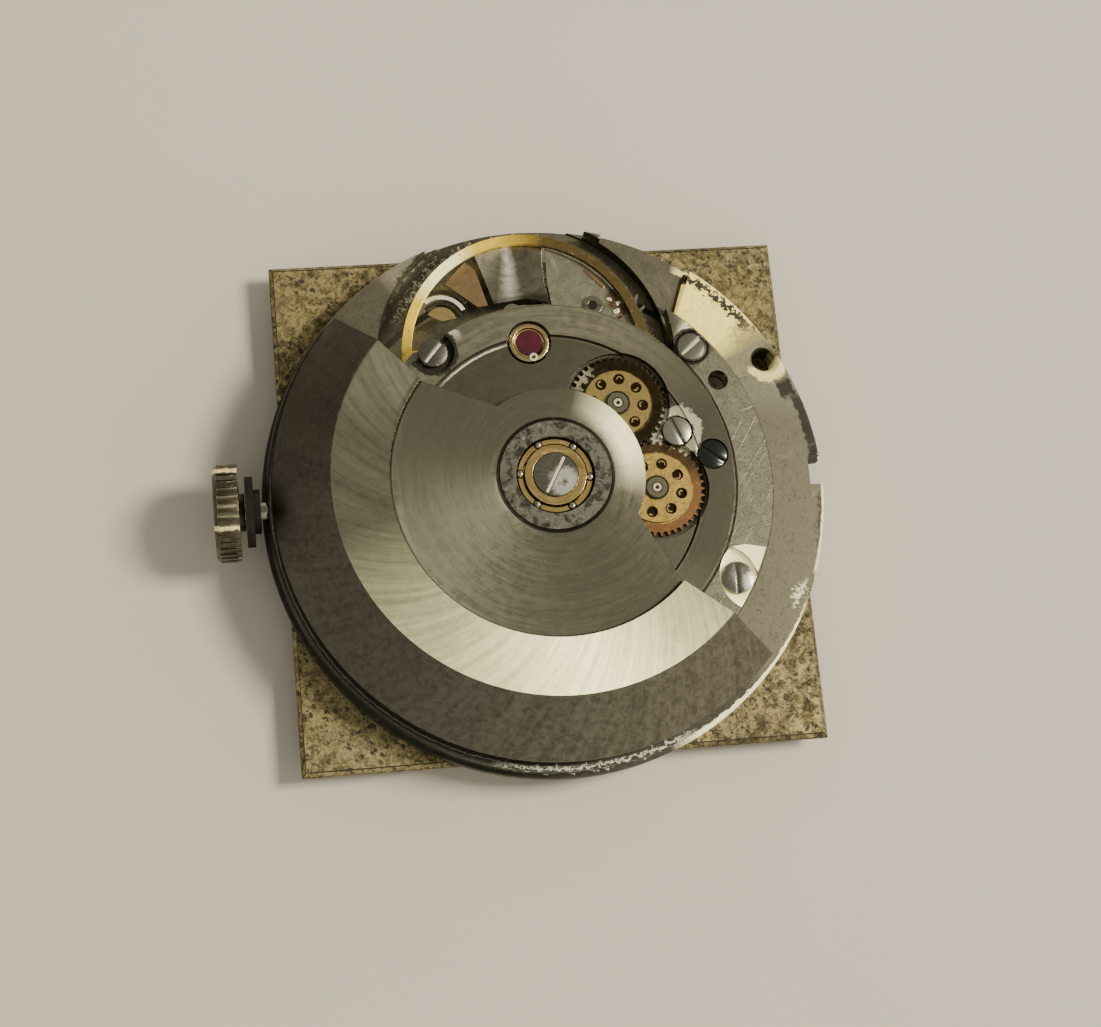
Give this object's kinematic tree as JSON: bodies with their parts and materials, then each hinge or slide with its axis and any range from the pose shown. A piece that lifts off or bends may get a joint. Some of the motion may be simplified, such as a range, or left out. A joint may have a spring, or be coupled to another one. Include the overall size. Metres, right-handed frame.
{
  "type": "mechanical watch movement",
  "caption": "Self-winding mechanical watch movement on a square dial plate: swinging rotor on a ball bearing, balance, gear train, barrel, winding stem and crown.",
  "frame": {"origin": "on the movement's axis, at the seat of the hour hand just under the dial's face", "axes": "+Z from the dial to the rotor along the movement's axis, -X along the winding stem towards the crown, +Y completes a right-handed frame"},
  "size_m": [0.0281, 0.026, 0.0064],
  "materials": {
    "tarnished_brass": "tarnished",
    "nickel_plate": "nickel plated, satin",
    "bridge_nickel": "nickel plated, fine grained",
    "rotor_dark": "nickel plated, snailed",
    "rotor_light": "nickel plated, brushed",
    "steel": "polished",
    "worn_chrome": "worn",
    "dark_seal": "matte",
    "brass": "polished",
    "gilt": "gilded",
    "ruby": "polished"
  },
  "bodies": {
    "movement": {"dial_plate": "tarnished_brass", "main_plate": "nickel_plate", "barrel_bridge": "bridge_nickel", "train_bridge": "bridge_nickel", "balance_cock": "bridge_nickel", "regulator": "steel", "shock_settings": "brass", "cap_jewels": "ruby", "shock_springs": "steel", "hairspring": "steel", "train_jewels": "ruby", "pallet_bridge": "bridge_nickel", "auto_lower_bridge": "bridge_nickel", "auto_upper_bridge": "bridge_nickel", "bridge_screws": "steel", "auto_bridge_screws": "steel", "small_screws": "steel", "setting_lever_spring": "steel", "click_spring": "steel", "bearing_race": "brass", "bearing_screw": "steel"},
    "rotor": {"rotor_weight": "rotor_dark", "rotor_plate": "rotor_light", "bearing_outer_ring": "steel"},
    "cage": {"bearing_balls": "steel", "bearing_cage": "brass"},
    "reverser_a": {"reverser_wheel_a": "gilt"},
    "reverser_b": {"reverser_wheel_b": "gilt"},
    "pinion_a": {"reverser_pinion_a": "steel"},
    "pinion_b": {"reverser_pinion_b": "steel"},
    "reduction": {"reduction_wheel": "brass"},
    "driver": {"ratchet_driver": "brass"},
    "ratchet": {"barrel_arbor": "steel", "ratchet_wheel": "steel", "ratchet_screw": "steel"},
    "barrel": {"barrel_drum": "brass", "barrel_cover": "brass", "mainspring": "steel"},
    "centre": {"centre_wheel": "brass"},
    "third": {"third_wheel": "brass"},
    "fourth": {"fourth_wheel": "brass"},
    "escape": {"escape_wheel": "steel"},
    "pallet": {"pallet_fork": "steel"},
    "balance": {"balance_wheel": "gilt", "balance_staff": "steel"},
    "cannon": {"cannon_pinion": "steel"},
    "minute": {"minute_wheel": "brass"},
    "hour": {"hour_wheel": "brass"},
    "setting": {"setting_wheel": "steel"},
    "seal": {"stem_seal": "dark_seal"},
    "stem": {"stem": "steel", "crown": "worn_chrome"},
    "winding": {"winding_pinion": "steel"},
    "clutch": {"sliding_clutch": "steel"},
    "crown_wheel": {"crown_wheel": "steel"},
    "click": {"click": "steel"},
    "lever": {"setting_lever": "steel"},
    "yoke": {"yoke": "steel"}
  },
  "joints": [
    {"name": "rotor_spin", "type": "hinge", "parent": "movement", "child": "rotor", "pos_m": [0, 0, 0], "axis": [0, 0, 1], "continuous": true},
    {"name": "cage_orbit", "type": "hinge", "parent": "movement", "child": "cage", "pos_m": [0, 0, 0], "axis": [0, 0, 1], "continuous": true},
    {"name": "reverser_a_spin", "type": "hinge", "parent": "movement", "child": "reverser_a", "pos_m": [0.00326, 0.0034, 0], "axis": [0, 0, 1], "continuous": true},
    {"name": "reverser_b_spin", "type": "hinge", "parent": "movement", "child": "reverser_b", "pos_m": [0.00464, -0.00065, 0], "axis": [0, 0, 1], "continuous": true},
    {"name": "crown_pull", "type": "slide", "parent": "movement", "child": "seal", "axis": [-1, 0, 0], "range_m": [0, 0.0006]},
    {"name": "stem_turn", "type": "hinge", "parent": "seal", "child": "stem", "pos_m": [-0.009, 0, 0.00172], "axis": [1, 0, 0], "continuous": true},
    {"name": "clutch_slide", "type": "slide", "parent": "stem", "child": "clutch", "axis": [1, 0, 0], "range_m": [0, 0.00105]},
    {"name": "lever_swing", "type": "hinge", "parent": "movement", "child": "lever", "pos_m": [-0.01115, -0.0029, 0], "axis": [0, 0, 1], "range_deg": [0, 14.3]},
    {"name": "yoke_swing", "type": "hinge", "parent": "movement", "child": "yoke", "pos_m": [-0.00753, -0.0032, 0], "axis": [0, 0, 1], "range_deg": [-10.4, 0]},
    {"name": "winding_turn", "type": "hinge", "parent": "movement", "child": "winding", "pos_m": [-0.009, 0, 0.00172], "axis": [1, 0, 0], "continuous": true},
    {"name": "crown_wheel_turn", "type": "hinge", "parent": "movement", "child": "crown_wheel", "pos_m": [-0.0067, 0, 0], "axis": [0, 0, 1], "continuous": true},
    {"name": "ratchet_turn", "type": "hinge", "parent": "movement", "child": "ratchet", "pos_m": [-0.0024, -0.0046, 0], "axis": [0, 0, 1], "continuous": true},
    {"name": "driver_turn", "type": "hinge", "parent": "movement", "child": "driver", "pos_m": [-0.0008, -0.00057, 0], "axis": [0, 0, 1], "continuous": true},
    {"name": "reduction_turn", "type": "hinge", "parent": "movement", "child": "reduction", "pos_m": [0.00292, 0.00102, 0], "axis": [0, 0, 1], "continuous": true},
    {"name": "pinion_a_turn", "type": "hinge", "parent": "movement", "child": "pinion_a", "pos_m": [0.00326, 0.0034, 0], "axis": [0, 0, 1], "continuous": true},
    {"name": "pinion_b_turn", "type": "hinge", "parent": "movement", "child": "pinion_b", "pos_m": [0.00464, -0.00065, 0], "axis": [0, 0, 1], "continuous": true},
    {"name": "fourth_spin", "type": "hinge", "parent": "movement", "child": "fourth", "pos_m": [0.00403, 0.00591, 0], "axis": [0, 0, 1], "continuous": true},
    {"name": "escape_spin", "type": "hinge", "parent": "movement", "child": "escape", "pos_m": [0.00382, 0.00832, 0], "axis": [0, 0, 1], "continuous": true},
    {"name": "third_spin", "type": "hinge", "parent": "movement", "child": "third", "pos_m": [0.00266, 0.0029, 0], "axis": [0, 0, 1], "continuous": true},
    {"name": "centre_spin", "type": "hinge", "parent": "movement", "child": "centre", "pos_m": [0, 0, 0], "axis": [0, 0, 1], "continuous": true},
    {"name": "cannon_spin", "type": "hinge", "parent": "movement", "child": "cannon", "pos_m": [0, 0, 0], "axis": [0, 0, 1], "continuous": true},
    {"name": "barrel_spin", "type": "hinge", "parent": "movement", "child": "barrel", "pos_m": [-0.0024, -0.0046, 0], "axis": [0, 0, 1], "continuous": true},
    {"name": "minute_spin", "type": "hinge", "parent": "movement", "child": "minute", "pos_m": [-0.00226, 0.00043, 0], "axis": [0, 0, 1], "continuous": true},
    {"name": "hour_spin", "type": "hinge", "parent": "movement", "child": "hour", "pos_m": [0, 0, 0], "axis": [0, 0, 1], "continuous": true},
    {"name": "setting_spin", "type": "hinge", "parent": "movement", "child": "setting", "pos_m": [-0.0052, 0, 0], "axis": [0, 0, 1], "continuous": true},
    {"name": "balance_swing", "type": "hinge", "parent": "movement", "child": "balance", "pos_m": [-0.0005, 0.0065, 0], "axis": [0, 0, 1], "range_deg": [-270, 270]},
    {"name": "pallet_swing", "type": "hinge", "parent": "movement", "child": "pallet", "pos_m": [0.00189, 0.00762, 0], "axis": [0, 0, 1], "range_deg": [-6, 6]},
    {"name": "click_swing", "type": "hinge", "parent": "movement", "child": "click", "pos_m": [-0.007, -0.00355, 0], "axis": [0, 0, 1], "range_deg": [-6, 0]}
  ],
  "couplings": [
    {"joint": "cage_orbit", "follows": "rotor_spin", "ratio": 0.5623},
    {"joint": "reverser_a_spin", "follows": "rotor_spin", "ratio": -1.1905},
    {"joint": "reverser_b_spin", "follows": "rotor_spin", "ratio": 1.1905},
    {"joint": "clutch_slide", "follows": "crown_pull", "ratio": 1.75},
    {"joint": "lever_swing", "follows": "crown_pull", "rad_per_m": 414.5},
    {"joint": "yoke_swing", "follows": "crown_pull", "rad_per_m": -301},
    {"joint": "winding_turn", "follows": "stem_turn", "ratio": 1},
    {"joint": "crown_wheel_turn", "follows": "stem_turn", "ratio": 0.4},
    {"joint": "ratchet_turn", "follows": "stem_turn", "ratio": -0.25455},
    {"joint": "driver_turn", "follows": "stem_turn", "ratio": 2},
    {"joint": "reduction_turn", "follows": "stem_turn", "ratio": -21.143},
    {"joint": "pinion_a_turn", "follows": "stem_turn", "ratio": 105.71},
    {"joint": "pinion_b_turn", "follows": "stem_turn", "ratio": 105.71},
    {"joint": "escape_spin", "follows": "fourth_spin", "ratio": -10},
    {"joint": "third_spin", "follows": "fourth_spin", "ratio": -0.13333},
    {"joint": "centre_spin", "follows": "fourth_spin", "ratio": 0.016667},
    {"joint": "cannon_spin", "follows": "fourth_spin", "ratio": 0.016667},
    {"joint": "barrel_spin", "follows": "fourth_spin", "ratio": -0.002193},
    {"joint": "minute_spin", "follows": "fourth_spin", "ratio": -0.0055556},
    {"joint": "hour_spin", "follows": "fourth_spin", "ratio": 0.0013889},
    {"joint": "setting_spin", "follows": "fourth_spin", "ratio": 0.0076923},
    {"joint": "pallet_swing", "follows": "balance_swing", "ratio": -0.0222}
  ]
}
